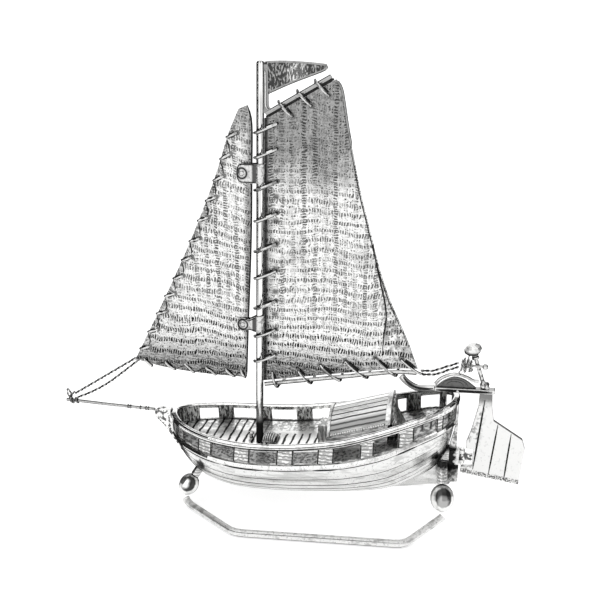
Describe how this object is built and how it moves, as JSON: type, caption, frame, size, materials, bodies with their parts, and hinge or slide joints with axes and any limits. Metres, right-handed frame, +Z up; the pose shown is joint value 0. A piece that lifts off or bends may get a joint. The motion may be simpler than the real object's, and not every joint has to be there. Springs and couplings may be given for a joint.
{
  "type": "miniature sailing barge on a stand",
  "caption": "Silver table miniature of a gaff-rigged sailing barge with laced sails, a cabin and a hung rudder, standing on a bead-and-wire stand.",
  "frame": {"origin": "on the table under the middle of the length and of the width", "axes": "+X aft, towards the rudder; +Y to starboard; +Z up"},
  "size_m": [0.124, 0.0418, 0.1154],
  "materials": {
    "polished_silver": "polished silver",
    "satin_silver": "satin silver with darkened recesses",
    "stamped_silver": "silver sheet stamped with a cloth weave, darkened in the recesses",
    "oxidised_silver": "blackened silver"
  },
  "bodies": {
    "boat": {"hull_body": "satin_silver", "deadwood": "satin_silver", "sternpost": "satin_silver", "stem": "satin_silver", "deck": "satin_silver", "bulwark": "satin_silver", "rail": "polished_silver", "wale_port": "polished_silver", "wale_starboard": "polished_silver", "cabin_side_port": "oxidised_silver", "cabin_side_starboard": "oxidised_silver", "cabin_roof": "satin_silver", "cabin_front_hoop": "polished_silver", "cabin_rear_hoop": "polished_silver", "cabin_front_wall": "oxidised_silver", "cabin_rear_wall": "oxidised_silver", "companion_step": "satin_silver", "mast": "polished_silver", "pennant": "stamped_silver", "jib": "stamped_silver", "jib_clip_upper": "polished_silver", "jib_clip_lower": "polished_silver", "jib_luff_lacing": "polished_silver", "jib_foot_lacing": "polished_silver", "bowsprit": "polished_silver", "tack_rope_upper": "polished_silver", "tack_rope_lower": "polished_silver", "gudgeon": "satin_silver", "pintle": "polished_silver", "stand_front_bead_port": "polished_silver", "stand_front_leg_port": "polished_silver", "stand_front_bead_starboard": "polished_silver", "stand_front_leg_starboard": "polished_silver", "stand_rear_bead_port": "polished_silver", "stand_rear_leg_port": "polished_silver", "stand_rear_bead_starboard": "polished_silver", "stand_rear_leg_starboard": "polished_silver", "stand_runner_port": "polished_silver", "stand_runner_starboard": "polished_silver"},
    "mainsail_and_spars": {"mainsail": "stamped_silver", "gaff": "polished_silver", "boom": "polished_silver", "luff_lacing": "polished_silver", "gaff_lacing": "polished_silver", "boom_lacing": "polished_silver", "sheet_rope_upper": "polished_silver", "sheet_rope_lower": "polished_silver"},
    "rudder_and_tiller": {"rudder_blade": "satin_silver", "rudder_lug": "satin_silver", "tiller_bar": "polished_silver", "tiller_handle": "polished_silver", "tiller_web": "oxidised_silver", "tiller_hoop": "polished_silver", "sheet_post": "polished_silver", "cross_pin": "polished_silver", "sheet_coil": "satin_silver"}
  },
  "joints": [
    {"name": "rudder_swing", "type": "hinge", "parent": "boat", "child": "rudder_and_tiller", "pos_m": [0.0467, 0, 0.0185], "axis": [0, 0, 1], "range_deg": [-20, 20]},
    {"name": "boom_swing", "type": "hinge", "parent": "boat", "child": "mainsail_and_spars", "pos_m": [-0.00665, 0, 0.01665], "axis": [0.0172, 0, 0.9999], "range_deg": [-8, 8]}
  ]
}
